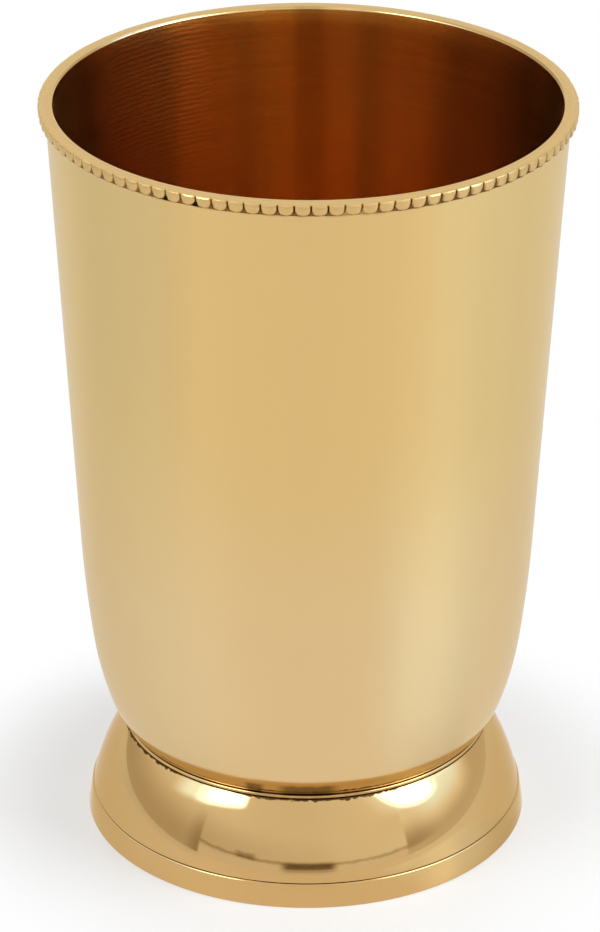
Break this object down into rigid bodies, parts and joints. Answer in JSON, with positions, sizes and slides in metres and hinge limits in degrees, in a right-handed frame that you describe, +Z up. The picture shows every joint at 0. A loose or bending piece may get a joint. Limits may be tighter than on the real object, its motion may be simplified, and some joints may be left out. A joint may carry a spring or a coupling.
{
  "type": "brass tumbler",
  "caption": "Footed brass tumbler: a tapered round-bottomed bowl with a beaded lip, soldered through a thin collar to a hollow domed foot on a flat base ring.",
  "frame": {"origin": "centre of the flat face of the base ring that the tumbler stands on", "axes": "+Z up along the axis of revolution, towards the lip; the tumbler is round, so X and Y are free"},
  "size_m": [0.08, 0.08, 0.1187],
  "materials": {
    "satin_brass": "satin, fine turning lines",
    "bead_brass": "polished crowns, dark grooves",
    "polished_brass": "mirror polish",
    "braze_metal": "dull brazing metal"
  },
  "bodies": {
    "root": {"bowl": "satin_brass", "beaded_rim": "bead_brass", "neck_collar": "polished_brass", "foot": "polished_brass", "base_ring": "polished_brass", "neck_braze": "braze_metal"}
  },
  "joints": []
}
